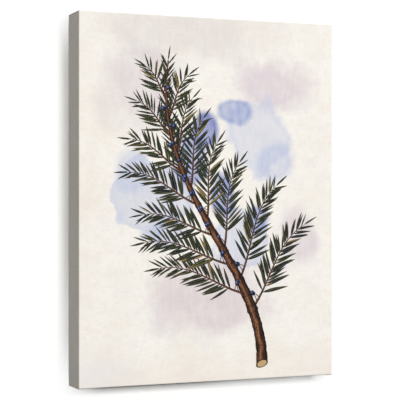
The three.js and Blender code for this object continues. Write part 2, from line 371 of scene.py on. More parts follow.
# Pigment print on primed cotton canvas, matt varnished: soft washes sink into a pale ground,
# the weave shows as fine relief, and the unprinted edge turns to plain white primer behind.
def makePrintedCanvas():
    look = {"Roughness": 0.82, "Specular IOR Level": 0.25}
    material, add, setSurface = newMaterial("pigmentPrintOnPrimedCotton", look)
    place = add("TexCoord", output="Object")
    normal, threads = addWeave(add, 0.8)

    # Each layer goes over the ones before it: how much of it there is, and its colour
    layers, stains, lowerLeftTinted = [], [], []
    for i, (size, (across, up), tint, start, most) in enumerate(ground["stains"]):
        aside = (ground["stainShift"] * i, 0, 0)
        spread = {"Vector": place, "Location": aside, "Scale": (across, 1, up)}
        spread = add("Mapping", spread)
        stains.append(add("TexNoise", {"Vector": spread, "Scale": 1 / (size * mm), "Detail": 3.0}))
        amount = add("ValToRGB", stains[-1:], [(start, 0.0), (ground["stainFull"], most)])
        layers.append((amount, tint))
    spot = add("SeparateXYZ", [place]).node.outputs
    # The ground turns darker and warmer towards the lower and the left edge
    for axis, edge, reach in (("Z", canvasLow.z, 0), ("X", canvasLow.x, 1)):
        start = edge + ground["lowerLeftTintFrom"][reach] * mm
        lowerLeftTinted.append(add("MapRange", [spot[axis], start, edge, 0, ground["lowerLeftTintMost"][reach]]))
    lowerLeftTinted = add("MAXIMUM", lowerLeftTinted)
    layers.append((add("MULTIPLY", [lowerLeftTinted, stains[0]]), ground["lowerLeftTint"]))

    # The washes share one wobble for their outlines and one set of brush marks
    wobble = add("TexNoise", {"Vector": place, "Scale": 1 / (wash["wobble"] * mm), "Detail": 4.0})
    swept = {"Rotation": (0, wash["brushTurn"], 0), "Scale": (1, 1, wash["brushStretch"])}
    swept = add("Mapping", {"Vector": place, **swept})
    marks = add("TexNoise", {"Vector": swept, "Scale": 1 / (wash["brush"] * mm), "Detail": 5.0})
    cloud = add("ValToRGB", [marks], [(0.3, 0.72), (0.66, 1.0)])
    for middle, size, tint, strength, bled in washes:
        reach = addDistance(add, place, middle, size, wash["core"])
        edge = add("MULTIPLY_ADD", [wobble, wash["wander"], reach])
        rim, end = 0.71 - 0.26 * bled, 0.74 + 0.16 * bled
        depths = [(0.25, 0.85), (rim - 0.1, 0.75), (rim, 0.98 - 0.2 * bled), (end, 0.0)]
        wet = add("ValToRGB", [edge], depths)
        wet.node.color_ramp.interpolation = "EASE"
        amount = add("MULTIPLY", [wet, cloud])
        layers.append((add("MULTIPLY", [amount, strength]), tint))

    # Along the folds the ink is rubbed and a highlight is painted, and past its own edge on the back the
    # print stops
    flat = add("SeparateXYZ", [add("UVMap")]).node.outputs
    wornAndLit, past = [], []
    for axis, half in (("X", halfWidth), ("Y", halfHeight)):
        size = add("ABSOLUTE", [flat[axis]])
        rubbedAndLit = [addGap(add, size, half), 0, ground["foldWearAndHighlight"] * mm, ground["foldWearAndHighlightMost"], 0]
        wornAndLit.append(add("MapRange", rubbedAndLit))
        reach = half + deepness + ground["printPastEdge"] * mm
        past.append(add("GREATER_THAN", [size, reach]))
    wornAndLit = add("MAXIMUM", wornAndLit)
    layers.append((add("MULTIPLY", [wornAndLit, threads]), ground["rubbedAndLit"]))
    layers.append((add("MAXIMUM", past), ground["primed"]))

    colour = ground["paper"]
    for amount, tint in layers:
        colour = add("MixRGB", [amount, colour, tint])
    # Threads catch a little less ink on their flanks
    streaks = add("ValToRGB", [threads], [(0.35, 0.955), (0.6, 1.0)])
    colour = add("MixRGB", [1.0, colour, streaks], blend_type="MULTIPLY")
    setSurface({"Base Color": colour, "Normal": normal})
    return material


rawCotton = {
    "base": "#dbd3c2",
    "shade": "#c2b69f",
    "seed": "#8d7757",
    "fleck": 8,  # between one fleck of seed husk and the next
    "fleckSize": 0.05,  # of that distance
    "ragged": 1.5,
    "raggedBy": 0.12,  # of that distance too
}


# Unprimed back of cotton canvas: matt, a little hairy, with darker slubs in the threads and the
# brown flecks of seed husk that unbleached cotton keeps
def makeRawCotton():
    look = {"Roughness": 0.92, "Specular IOR Level": 0.15, "Sheen Weight": 0.15}
    material, add, setSurface = newMaterial("rawCottonBack", look)
    normal, threads = addWeave(add, 0.9)
    colour = add("ValToRGB", [threads], [(0.38, rawCotton["shade"]), (0.62, rawCotton["base"])])
    place = add("TexCoord", output="Object")
    noise = {"Vector": place, "Scale": 1 / (rawCotton["ragged"] * mm), "Detail": 2.0}
    ragged = add("TexNoise", noise, output="Color")
    apart, size = rawCotton["fleck"] * mm, rawCotton["fleckSize"]
    bend = (apart * rawCotton["raggedBy"],) * 3
    bent = add("VectorMath", [ragged, bend, place], operation="MULTIPLY_ADD")
    spots = add("TexVoronoi", {"Vector": bent, "Scale": 1 / apart}).node.outputs
    depth = add("SeparateXYZ", [spots["Color"]])
    amount = add("MapRange", [spots["Distance"], size, size * 1.6, depth, 0])
    flecked = add("MixRGB", [amount, colour, rawCotton["seed"]])
    setSurface({"Base Color": flecked, "Normal": normal})
    return material


pine = {
    "early": "#e2c493",
    "late": "#c59a62",
    "ring": 4.2,  # growth rings as a planed face shows them
    "drift": 26,
    "pore": 0.35,
    "stretch": 0.045,  # along the bar
    "relief": 0.15,
}


# Planed bare softwood: straight soft and hard bands along the bar, satin where planed
def makePine(name, grain):
    material, add, setSurface = newMaterial(name, {"Roughness": 0.6})
    along = add("Mapping", {"Vector": add("TexCoord", output="Object"), "Scale": grain})
    drift = add("TexNoise", {"Vector": along, "Scale": 1 / (pine["drift"] * mm), "Detail": 2.0})
    bands = {"Vector": along, "Scale": 1 / (pine["ring"] * mm), "Detail": 1.0, "Distortion": 0.4}
    rings = add("TexNoise", bands)
    mixed = add("MULTIPLY_ADD", [drift, 0.45, rings])
    stops = [(0.5, pine["early"]), (0.72, pine["late"]), (0.8, pine["early"])]
    colour = add("ValToRGB", [mixed], stops)
    pores = add("TexNoise", {"Vector": along, "Scale": 1 / (pine["pore"] * mm), "Detail": 2.0})
    pale = add("ValToRGB", [pores], [(0.35, 0.86), (0.6, 1.0)])
    colour = add("MixRGB", [1.0, colour, pale], blend_type="MULTIPLY")
    rough = add("ValToRGB", [rings], [(0.4, 0.68), (0.7, 0.5)])
    bump = add("Bump", {"Height": mixed, "Strength": 0.5, "Distance": pine["relief"] * mm})
    setSurface({"Base Color": colour, "Roughness": rough, "Normal": bump})
    return material


zinc = {"light": "#c9ccd0", "dark": "#a5a9ae", "spangle": 1.2}


# Thin zinc on steel wire and sheet: bluish grey, with cloudy spangle and fine drawing lines
def makeGalvanised():
    look = {"Metallic": 1.0, "Roughness": 0.4}
    material, add, setSurface = newMaterial("galvanisedSteel", look)
    cells = {"Vector": add("TexCoord", output="Object"), "Scale": 1 / (zinc["spangle"] * mm)}
    spangle = add("TexVoronoi", cells, output="Distance")
    colour = add("ValToRGB", [spangle], [(0.1, zinc["light"]), (0.9, zinc["dark"])])
    rough = add("ValToRGB", [spangle], [(0.1, 0.3), (0.9, 0.5)])
    setSurface({"Base Color": colour, "Roughness": rough})
    return material


brass = {"dull": "#c9a45a", "bright": "#e0c27c", "patch": 3, "scratch": 0.25, "relief": 0.03}


# Brass plating on stamped steel: yellow and bright, rubbed duller in patches
def makePlating():
    look = {"Metallic": 1.0, "Roughness": 0.3}
    material, add, setSurface = newMaterial("brassPlatedSteel", look)
    place = add("TexCoord", output="Object")
    rub = add("TexNoise", {"Vector": place, "Scale": 1 / (brass["patch"] * mm), "Detail": 5.0})
    colour = add("ValToRGB", [rub], [(0.35, brass["dull"]), (0.65, brass["bright"])])
    rough = add("ValToRGB", [rub], [(0.35, 0.45), (0.65, 0.24)])
    lines = add("Mapping", {"Vector": place, "Scale": (0.05, 1, 1)})
    scratch = add("TexNoise", {"Vector": lines, "Scale": 1 / (brass["scratch"] * mm)})
    bump = add("Bump", {"Height": scratch, "Strength": 0.3, "Distance": brass["relief"] * mm})
    setSurface({"Base Color": colour, "Roughness": rough, "Normal": bump})
    return material


moulded = {"black": "#242425", "dust": "#4a4948", "speck": 2, "relief": 0.05}


# Moulded black rubber: very matt, dusty grey where it was handled
def makeRubber():
    material, add, setSurface = newMaterial("mouldedRubber", {"Roughness": 0.85})
    place = add("TexCoord", output="Object")
    dust = add("TexNoise", {"Vector": place, "Scale": 1 / (moulded["speck"] * mm), "Detail": 6.0})
    colour = add("ValToRGB", [dust], [(0.4, moulded["black"]), (0.75, moulded["dust"])])
    bump = add("Bump", {"Height": dust, "Strength": 0.4, "Distance": moulded["relief"] * mm})
    setSurface({"Base Color": colour, "Normal": bump})
    return material


ink = {
    "navy": "#161e3a",
    "dark": "#0e120d",
    "green": "#202a1c",
    "olive": "#4c502e",
    "ochre": "#a58a52",
    "rib": "#8c865e",
    "barkDark": "#190d0a",
    "bark": "#44261a",
    "barkLight": "#8f6040",
    "wood": "#cfae80",
    "woodRing": "#8a5d38",
    "berry": "#27315a",
    "berryLight": "#7484b8",
}
inkLook = {"Roughness": 0.8, "Specular IOR Level": 0.25}
drawn = {
    "blot": 5,
    "lit": 0.22,  # lighter by this on one half of a leaf, and by the next at its tip
    "tip": 0.25,
    "veins": 11,
    "veinSlant": 0.35,
    "penStrokes": (0.55, 1.6),  # how close they follow each other along a stem and across it
    "fibres": (0.07, 9),
    "ridge": 0.58,  # where across a stem it is lightest
    "flank": 0.9,
    "pith": (0.46, 0.5, 0),
    "woodRings": 62,
    "berryLight": (0.36, 0.64, 0),
}


# Printed leaf green: one half in shade, pen lines along the edge and the side veins, a pale rib
def makeLeafInk():
    material, add, setSurface = newMaterial("printedLeafInk", inkLook)
    across = add("SeparateXYZ", [add("UVMap")]).node.outputs
    tone = add("Attribute", output="Fac", attribute_name="tone")
    place = add("TexCoord", output="Object")
    blot = add("TexNoise", {"Vector": place, "Scale": 1 / (drawn["blot"] * mm), "Detail": 4.0})
    level = add("MULTIPLY_ADD", [blot, 0.5, tone])
    lit = add("GREATER_THAN", [across["Y"], 0.5])
    level = add("MULTIPLY_ADD", [lit, drawn["lit"], level])
    tipped = add("POWER", [across["X"], 4.0])
    level = add("MULTIPLY_ADD", [tipped, drawn["tip"], level])
    greens = {0.2: "navy", 0.36: "dark", 0.62: "green", 0.86: "olive", 1.0: "ochre"}
    body = add("ValToRGB", [level], [(spot, ink[name]) for spot, name in greens.items()])
    fromRib = addGap(add, across["Y"], 0.5)
    slant = add("MULTIPLY_ADD", [fromRib, -drawn["veinSlant"], across["X"]])
    veins = add("MULTIPLY", [slant, 2 * math.pi * drawn["veins"]])
    veins = add("SINE", [veins])
    hatch = add("ValToRGB", [veins], [(0.55, 0.0), (0.95, 0.55)])
    edge = add("ValToRGB", [fromRib], [(0.36, 0.0), (0.46, 0.9)])
    pen = add("MAXIMUM", [hatch, edge])
    rib = add("ValToRGB", [fromRib], [(0.03, 0.55), (0.07, 0.0)])
    colour = add("MixRGB", [pen, body, ink["dark"]])
    setSurface({"Base Color": add("MixRGB", [rib, colour, ink["rib"]])})
    return material


# Printed bark: brown with dark flanks, a light ridge, long fibres and short pen strokes across
def makeBarkInk():
    material, add, setSurface = newMaterial("printedBarkInk", inkLook)
    across = add("SeparateXYZ", [add("UVMap")], output="Y")
    length = add("Attribute", output="Fac", attribute_name="length")
    strokes = []
    for alongStem, acrossStem in (drawn["penStrokes"], drawn["fibres"]):
        x = add("MULTIPLY", [length, alongStem])
        y = add("MULTIPLY", [across, acrossStem])
        spot = add("CombineXYZ", [x, y])
        strokes.append(add("TexNoise", {"Vector": spot, "Scale": 1.0, "Detail": 4.0}))
    pens, fibres = strokes
    side = addGap(add, across, drawn["ridge"])
    level = add("MULTIPLY_ADD", [side, -drawn["flank"], fibres])
    browns = {0.08: "barkDark", 0.3: "bark", 0.52: "barkLight"}
    colour = add("ValToRGB", [level], [(spot, ink[name]) for spot, name in browns.items()])
    pen = add("ValToRGB", [pens], [(0.55, 0.0), (0.6, 0.85)])
    setSurface({"Base Color": add("MixRGB", [pen, colour, ink["barkDark"]])})
    return material


# Printed cut wood: pale, with darker rings and a dark line of bark round it
def makeCutInk():
    material, add, setSurface = newMaterial("printedCutWoodInk", inkLook)
    flat = add("UVMap")
    spot = add("VectorMath", [flat, drawn["pith"]], output="Value", operation="DISTANCE")
    turns = add("MULTIPLY", [spot, drawn["woodRings"]])
    rings = add("SINE", [turns])
    amount = add("ValToRGB", [rings], [(0.2, 0.0), (0.9, 0.75)])
    colour = add("MixRGB", [amount, ink["wood"], ink["woodRing"]])
    spot = add("VectorMath", [flat, (0.5, 0.5, 0)], output="Value", operation="DISTANCE")
    rim = add("ValToRGB", [spot], [(0.38, 0.0), (0.42, 1.0)])
    setSurface({"Base Color": add("MixRGB", [rim, colour, ink["barkDark"]])})
    return material


# Printed berry: deep blue with a light patch at the upper left
def makeBerryInk():
    material, add, setSurface = newMaterial("printedBerryInk", inkLook)
    patch = [add("UVMap"), drawn["berryLight"]]
    spot = add("VectorMath", patch, output="Value", operation="DISTANCE")
    stops = [(0.05, ink["berryLight"]), (0.26, ink["berry"]), (0.6, ink["dark"])]
    setSurface({"Base Color": add("ValToRGB", [spot], stops)})
    return material


printedCanvas = makePrintedCanvas()
rawBack = makeRawCotton()
pineAcross = makePine("planedPineAcross", (pine["stretch"], 1, 1))
pineUpright = makePine("planedPineUpright", (1, 1, pine["stretch"]))
galvanised = makeGalvanised()
plating = makePlating()
rubber = makeRubber()
print("materials made")


# Cloth: one sheet, folded round the bars from its flat pattern

cloth = {
    "thickness": 0.42,
    "edgeRadius": 1.0,
    "hold": 1.5,  # times that radius: a line close beside each bend keeps the flats flat
    "turnover": 19.6,
    "air": 0.03,  # between two layers of a fold
    "rise": 3,  # way on which one layer climbs over another
    "sink": (4, 3.5),  # from how far before a corner a side gives way to the fold, and on what way
    "fade": 2,  # past the back edge, where the layers level out
    "corner": 20,  # the folds tell on the cloth this far from a corner
    "slant": 40,  # from a corner, where the turnovers at the top and the bottom draw in
    "tuck": 1.5,  # the side turnovers' ends are drawn in by this
    "swell": {"top": (0, 0.35), "bottom": (0.8, 1.9)},  # of the corners, at the front and the back
    "frontCell": 12,
    "wallCell": 4,
    "turnoverCell": 2.5,
    "wave": 0.45,  # how much the cut edge wanders between staples
    "wavePitch": {"across": 68, "upright": 60},
    "ragged": 0.12,
    "raggedCell": 9,
    "seed": 11,
}


def ease(value):
    value = min(max(value, 0), 1)
    return value * value * (3 - 2 * value)


def steps(start, end, cell):
    count = max(1, round((end - start) / cell))
    return [start + (end - start) * i / count for i in range(count)]


# Where the mesh lines lie, as distances past the front edge: negative on the print, then down
# the side, then in over the back. Mirrored about the middle of the sheet.
def clothLines(half, depth):
    radius, end = cloth["edgeRadius"], depth + cloth["turnover"]
    bend = [-1, -0.6, -0.25, 0, 0.25, 0.6]
    hold = cloth["hold"] * radius
    lines = steps(-half, -hold, cloth["frontCell"]) + [-hold] + [radius * f for f in bend]
    lines += [radius] + steps(hold, depth - hold, cloth["wallCell"]) + [depth - hold]
    lines += [depth + radius * f for f in bend] + [depth + radius]
    lines += steps(depth + hold, end, cloth["turnoverCell"]) + [end]
    return [-(half + s) for s in reversed(lines[1:])] + [half + s for s in lines]


def cutEdge(along, pitch):
    dice = random.Random(cloth["seed"] + round(along / cloth["raggedCell"]))
    wander = dice.uniform(-cloth["ragged"], cloth["ragged"])
    return 1 + (cloth["wave"] * math.cos(2 * math.pi * along / pitch) + wander) / cloth["turnover"]


# One point of the flat pattern, in millimetres from its middle, to its place round the bars.
# The corners are folded so that the sides are clean and the fold lies on the top and bottom:
# the side's spare cloth goes in under the flap, doubled back along the diagonal.
def foldPoint(u, v, width, height, depth):
    a, b = abs(u) - width, abs(v) - height
    radius, corner, rise, fade = [cloth[key] for key in ("edgeRadius", "corner", "rise", "fade")]
    layer = cloth["thickness"] + cloth["air"]
    lift = 0
    flat = [abs(u), abs(v)]
    if a > 0 and b > 0:
        x, back, z = width - min(a, b), max(a, b), height
        if near(a, b, 1e-6):
            lift = -layer / 2
        elif a > b:
            lift = -layer
    elif b > 0:
        if b > depth:
            b = depth + (b - depth) * cutEdge(u, cloth["wavePitch"]["across"])
        x, back, z = abs(u), min(b, depth), height - max(b - depth, 0)
        x -= max(b - depth, 0) * ease((a + cloth["slant"]) / cloth["slant"])
        flat = [x, height + b]
        under = depth + fade if b > depth else b
        if near(a, 0, 1e-6):
            lift = layer / 2
        else:
            lift = layer * ease((under + rise / 2 + a) / rise)
    elif a > 0:
        if a > depth:
            a = depth + (a - depth) * cutEdge(v, cloth["wavePitch"]["upright"])
        x, back, z = width - max(a - depth, 0), min(a, depth), abs(v)
        z -= cloth["tuck"] * ease((a - depth) / rise) * ease((b + corner) / corner)
        flat = [width + a, z]
        before, way = cloth["sink"]
        lift = -layer * ease((b + before) / way) * (1 - ease((a - depth) / fade))
    else:
        x, back, z = abs(u), 0, abs(v)
    lift *= ease(back / rise)
    # The folded cloth swells the ends of the sides, more so towards the back and at the foot
    first, last = cloth["swell"]["top" if v > 0 else "bottom"]
    swell = first + (last - first) * min(back, depth) / depth
    swell *= ease(back / rise) * ease((x - width + depth) / depth)
    z += swell * ease((z - height + corner) / corner)
    deep = min(max(back, radius), depth - radius)
    inner = Vector((min(x, width - radius), deep, min(z, height + swell - radius)))
    away = Vector((x, back, z)) - inner
    point = inner + away.normalized() * (radius + lift)
    signs = (math.copysign(1, u), math.copysign(1, v))
    place = Vector((signs[0] * point.x, point.y, signs[1] * point.z))
    return place, (signs[0] * flat[0], signs[1] * flat[1])


def makeCloth():
    half = cloth["thickness"] / 2
    width, height = halfWidth / mm - half, halfHeight / mm - half
    depth = deepness / mm - 2 * half
    columns, rows = clothLines(width, depth), clothLines(height, depth)
    middle = printMiddle + Vector((0, half * mm, 0))
    points, flats, faces = [], [], []
    for v in rows:
        for u in columns:
            place, flat = foldPoint(u, v, width, height, depth)
            points.append(middle + place * mm)
            flats.append((flat[0] * mm, flat[1] * mm))
    area = 0
    for j in range(len(rows) - 1):
        for i in range(len(columns) - 1):
            a = abs(columns[i] + columns[i + 1]) / 2 - width
            b = abs(rows[j] + rows[j + 1]) / 2 - height
            if a > 0 and b > 0 and max(a, b) > depth:
                continue  # the corners of the pattern are cut off
            area += (columns[i + 1] - columns[i]) * (rows[j + 1] - rows[j]) * mm * mm
            low = j * len(columns) + i
            high = low + len(columns)
            corners = [low, low + 1, high + 1, high]
            if a > 0 and b > 0 and near(a, b, 1e-6):
                if columns[i] * rows[j] < 0:
                    corners = corners[1:] + corners[:1]
                faces += [corners[:3], [corners[0], *corners[2:]]]
            else:
                faces.append(corners)
    mesh = bpy.data.meshes.new("canvasSheet")
    mesh.from_pydata(points, [], faces)
    pattern = mesh.uv_layers.new(name="UVMap")
    for loop in mesh.loops:
        pattern.data[loop.index].uv = flats[loop.vertex_index]
    sheet = bpy.data.objects.new("canvasSheet", mesh)
    scene.collection.objects.link(sheet)
    startEdit(sheet)
    bpy.ops.mesh.select_all(action="SELECT")
    bpy.ops.mesh.delete_loose()
    endEdit()
    dress(sheet, printedCanvas, rawBack)
    inside = {"offset": 0, "material_offset": 1, "material_offset_rim": 1}
    applyModifier(sheet, "SOLIDIFY", thickness=cloth["thickness"] * mm, **inside)
    smooth(sheet, 50)
    cut = ((columns[-1] - columns[0]) * mm, (rows[-1] - rows[0]) * mm)
    return sheet, cut, area


canvasSheet, clothCut, clothArea = makeCloth()
print("cloth made", len(canvasSheet.data.polygons), "faces, flat", clothCut, clothArea)


# Threads that have frayed out of the cut edge and lie on the wood

thread = {
    "thick": 0.34,
    "length": (3.5, 8),
    "apart": 17,  # on average
    "spread": (0.4, 1.6),  # of that distance
    "tilt": 38,  # degrees to either side
    "bends": (-3, -1.2, 1.2, 3),
    "tip": 0.4,
    "start": 17,  # this far in from the outside, under the cut edge
    "clear": 36,  # from the corners
    "seed": 23,
}


# A bent thread along +X, one long and one thick, lying in the plane of the wood
def makeThreadShape(bend):
    rod = {"vertices": 5, "radius": 0.5, "depth": 1}
    place = {"location": (0.5, 0, 0), "rotation": (0, math.pi / 2, 0)}
    piece = addShape("threadModel", bpy.ops.mesh.primitive_cylinder_add, **rod, **place)
    startEdit(piece)
    for x in (0.25, 0.5, 0.75):
        cutAt((x, 0, 0), (1, 0, 0))
        pick("VERT", lambda p: near(p.x, x, 1e-4))
        shift(0, 0, bend * math.sin(math.pi * x))
    pick("VERT", lambda p: near(p.x, 1, 1e-4))
    tip = (1, thread["tip"], thread["tip"])
    bpy.ops.transform.resize(value=tip, center_override=(1, 0, 0))
    endEdit()
    return piece


def makeThreads():
    dice = random.Random(thread["seed"])
    models = [makeThreadShape(bend) for bend in thread["bends"]]
    thick = thread["thick"] * mm
    onWood = (0, boxOf("bar_top")[1].y + thick / 2, printMiddle.z)
    copies = []
    for side in range(4):
        lengthwise, crosswise = (halfHeight, halfWidth) if side % 2 else (halfWidth, halfHeight)
        reach = lengthwise - thread["clear"] * mm
        outward = crosswise - thread["start"] * mm
        spot = -reach + dice.uniform(0, thread["apart"]) * mm
        while spot < reach:
            inward = math.radians(90 + dice.uniform(-thread["tilt"], thread["tilt"]))
            size = (dice.uniform(*thread["length"]) * mm, thick, thick)
            place = placeAt(onWood, math.pi / 2 * side, "Y")
            place @= placeAt((spot, 0, outward), inward, "Y", size)
            copies.append(copyOf(dice.choice(models), "thread", place))
            spot += thread["apart"] * dice.uniform(*thread["spread"]) * mm
    for model in models:
        bpy.data.objects.remove(model)
    return joinAs("frayedThreads", copies)


frayedThreads = makeThreads()
smooth(frayedThreads, 60)
dress(frayedThreads, rawBack)
print("threads frayed")


# Stretcher bars

bar = {"lip": 6, "fall": 4.5, "easing": 0.9, "easingSteps": 3, "mitreGap": 0.1}


# A planed length: the front falls away from a narrow lip, and the ends are sawn at 45 degrees
def makeBar(name, node, copyName):
    low, high, middle, size = boxOf(node)
    piece = addShape(name, bpy.ops.mesh.primitive_cube_add, size=1, location=middle, scale=size)
    upright = size.z > size.x
    outward = Vector((-1, 0, 0)) if upright else Vector((0, 0, 1))
    outer, inner, inward = (low.x, high.x, 0) if upright else (high.z, low.z, 2)

    startEdit(piece)
    cutAt(middle + outward * (abs(outer - middle[inward]) - bar["lip"] * mm), outward)
    pick("VERT", lambda p: near(p.y, low.y) and near(p[inward], inner))
    shift(0, bar["fall"] * mm, 0)
    for end in (-1, 1):
        along = Vector((0, 0, end)) if upright else Vector((end, 0, 0))
        tip = high if end > 0 else low
        corner = Vector((outer, 0, tip.z)) if upright else Vector((tip.x, 0, outer))
        corner -= along * bar["mitreGap"] * mm
        cutAt(corner, (along - outward).normalized(), use_fill=True, clear_outer=True)
    endEdit()
    bevelEdges(piece, bar["easing"], bar["easingSteps"], math.radians(30))
    smooth(piece)
    centre = Vector((0, 0, printMiddle.z))
    half = placeAt(centre, math.pi, "Y") @ Matrix.Translation(-centre)
    return piece, copyOf(piece, copyName, half)


barTop, barBottom = makeBar("barTop", "bar_top", "barBottom")
barLeft, barRight = makeBar("barLeft", "bar_left", "barRight")
for piece in (barTop, barBottom):
    dress(piece, pineAcross)
for piece in (barLeft, barRight):
    dress(piece, pineUpright)
print("bars made")


# Staples

staple = {"thick": 0.7, "bend": 0.55, "bendSteps": 4, "edge": 0.12}


# Square wire: a flat crown with rounded shoulders and two legs
def makeStaple():
    size = boxOf("staple_top_1")[3]
    thick = staple["thick"] * mm
    knee = size.x / 2 - thick
    crown = {"size": 1, "scale": (size.x, thick, size.z)}
    piece = addShape("stapleModel", bpy.ops.mesh.primitive_cube_add, **crown)
    startEdit(piece)
    for side in (-1, 1):
        cutAt((side * knee, 0, 0), (1, 0, 0))
    pick("FACE", lambda p: near(p.y, -thick / 2) and abs(p.x) > knee)
    extrude(0, thick - size.y, 0)
    pick("EDGE", lambda p: near(abs(p.x), size.x / 2) and near(p.y, thick / 2) and near(p.z, 0))
    bpy.ops.mesh.bevel(offset=staple["bend"] * mm, segments=staple["bendSteps"])
    endEdit()
    bevelEdges(piece, staple["edge"])
    smooth(piece)
    return piece


def placeStaples(nodes):
    model = makeStaple()
    copies = []
    for name in nodes:
        high, middle, size = boxOf(name)[1:]
        turn = 0 if size.x > size.z else math.pi / 2
        if near(size.x, size.z, 1 * mm):
            turn = math.copysign(math.pi / 4, middle.x * (middle.z - printMiddle.z))
        spot = (middle.x, high.y - staple["thick"] * mm / 2, middle.z)
        copies.append(copyOf(model, name + "Wire", placeAt(spot, turn, "Y")))
    bpy.data.objects.remove(model)
    return joinAs("staples", copies)


stapleNodes = nodesOf("staple_")
staples = placeStaples(stapleNodes)
dress(staples, galvanised)
print("staples placed", len(stapleNodes))


# V nails across the mitres, just proud of the wood

vNail = {"thick": 0.6, "proud": 0.12, "edge": 0.08}


def makeVNail(node):
    low, high, middle, size = boxOf(node)
    thick = vNail["thick"] * mm
    side = math.copysign(1, middle.x)
    up = math.copysign(1, middle.z - printMiddle.z)
    ridge = high.x if side > 0 else low.x
    outer = high.z if up > 0 else low.z
    spot = (middle.x, middle.y + vNail["proud"] * mm, outer - up * thick / 2)
    strip = {"size": 1, "location": spot, "scale": (size.x, size.y, thick)}
    piece = addShape(node + "Strip", bpy.ops.mesh.primitive_cube_add, **strip)
    startEdit(piece)
    cutAt((ridge - side * thick, 0, 0), (1, 0, 0))
    pick("FACE", lambda p: near(p.z, outer - up * thick) and abs(p.x - ridge) < thick)
    extrude(0, 0, up * (thick - size.z))
    endEdit()
    bevelEdges(piece, vNail["edge"])
    return piece


vNailNodes = nodesOf("v_nail_")
vNails = joinAs("vNails", [makeVNail(node) for node in vNailNodes])
smooth(vNails)
dress(vNails, galvanised)
print("v nails placed", len(vNailNodes))


# Sawtooth hanger

hanger = {
    "thickness": 0.8,
    "middle": 30,
    "step": 2,
    "rise": 1.6,
    "notches": 9,
    "pitch": 3,
    "depth": 2.5,
    "land": 0.2,  # half the flat between two notches
    "edge": 0.12,
}


def makeHanger():
    low, _, middle, size = boxOf("hanger")
    stand = {"size": 1, "rotation": (math.pi / 2, 0, 0)}
    piece = addShape("hangerStrip", bpy.ops.mesh.primitive_plane_add, **stand)
    piece.scale = (size.x, 1, size.z)
    piece.location = (0, low.y + hanger["thickness"] * mm / 2, middle.z)
    settle()
    startEdit(piece)
    knee = hanger["middle"] * mm / 2
    foot = knee + hanger["step"] * mm
    half = hanger["pitch"] * mm / 2
    wide = half - hanger["land"] * mm
    first = -(hanger["notches"] - 1) * half
    centres = [first + 2 * half * i for i in range(hanger["notches"])]
    edges = [place for x in centres for place in (x - wide, x, x + wide)]
    for x in [-foot, -knee, knee, foot] + edges:
        cutAt((x, 0, 0), (1, 0, 0))
    pick("VERT", lambda p: near(p.z, low.z) and any(near(p.x, x) for x in centres))
    shift(0, 0, hanger["depth"] * mm)
    pick("VERT", lambda p: abs(p.x) < knee + 0.01 * mm)
    shift(0, hanger["rise"] * mm, 0)
    endEdit()
    applyModifier(piece, "SOLIDIFY", thickness=hanger["thickness"] * mm, offset=0)
    bevelEdges(piece, hanger["edge"], angle=0.6)
    smooth(piece, 35)
    return piece


hangerNail = {
    "sides": 28,
    "head": 0.7,
    "crown": 0.3,  # from the head's edge to the outermost of its box
    "dome": ((0.35, 0.16), (0.3, 0.06)),  # rings: share of the radius, and rise
    "neck": 0.68,  # share of the radius from the head's edge to the shank
    "shank": 9,
    "point": 2,
    "tip": 0.1,
    "edge": 0.1,
}


def makeHangerNails():
    high, middle, size = boxOf("hanger_nail_left")[1:]
    radius, thick = size.x / 2, hangerNail["head"] * mm
    outside = high.y - hangerNail["crown"] * mm
    disc = {"vertices": hangerNail["sides"], "radius": radius, "depth": thick}
    spot = (middle.x, outside - thick / 2, middle.z)
    place = {"location": spot, "rotation": (-math.pi / 2, 0, 0)}
    piece = addShape("hangerNail", bpy.ops.mesh.primitive_cylinder_add, **disc, **place)
    startEdit(piece)
    pick("FACE", lambda p: near(p.y, outside))
    for ring, rise in hangerNail["dome"]:
        bpy.ops.mesh.inset(thickness=radius * ring)
        shift(0, rise * mm, 0)
    pick("FACE", lambda p: near(p.y, outside - thick))
    bpy.ops.mesh.inset(thickness=radius * hangerNail["neck"])
    extrude(0, -hangerNail["shank"] * mm, 0)
    extrude(0, -hangerNail["point"] * mm, 0)
    tip = (hangerNail["tip"], 1, hangerNail["tip"])
    bpy.ops.transform.resize(value=tip, center_override=middle)
    endEdit()
    bevelEdges(piece, hangerNail["edge"])
    apart = boxOf("hanger_nail_right")[2].x - middle.x
    twin = copyOf(piece, "hangerNailTwin", Matrix.Translation((apart, 0, 0)))
    piece = joinAs("hangerNails", [piece, twin])
    smooth(piece)
    return piece


hangerStrip = makeHanger()
dress(hangerStrip, plating)
hangerNails = makeHangerNails()
dress(hangerNails, galvanised)
print("hanger made")


# Rubber bumpers on the lower corners

bumper = {"round": 1.5, "roundSteps": 5, "sides": 40, "inset": 0.3}


def makeBumpers():
    high, centre, size = boxOf("bumper_right")[1:]
    radius, depth = size.x / 2, high.y - canvasHigh.y
    middle = Vector((centre.x, high.y - depth / 2, centre.z))
    disc = {"vertices": bumper["sides"], "radius": radius, "depth": depth}
    place = {"location": middle, "rotation": (-math.pi / 2, 0, 0)}
    piece = addShape("bumperRight", bpy.ops.mesh.primitive_cylinder_add, **disc, **place)
    startEdit(piece)
    pick("EDGE", lambda p: near(p.y, high.y) and (p - middle).length > radius * 0.9)
    bpy.ops.mesh.bevel(offset=bumper["round"] * mm, segments=bumper["roundSteps"])
    for end in (high.y, canvasHigh.y):
        pick("FACE", lambda p: near(p.y, end))
        bpy.ops.mesh.inset(thickness=bumper["inset"] * mm)
    endEdit()
    smooth(piece, 35)
    return piece, copyOf(piece, "bumperLeft", Matrix.Translation((-2 * middle.x, 0, 0)))


bumperRight, bumperLeft = makeBumpers()
for piece in (bumperRight, bumperLeft):
    dress(piece, rubber)
print("bumpers made")


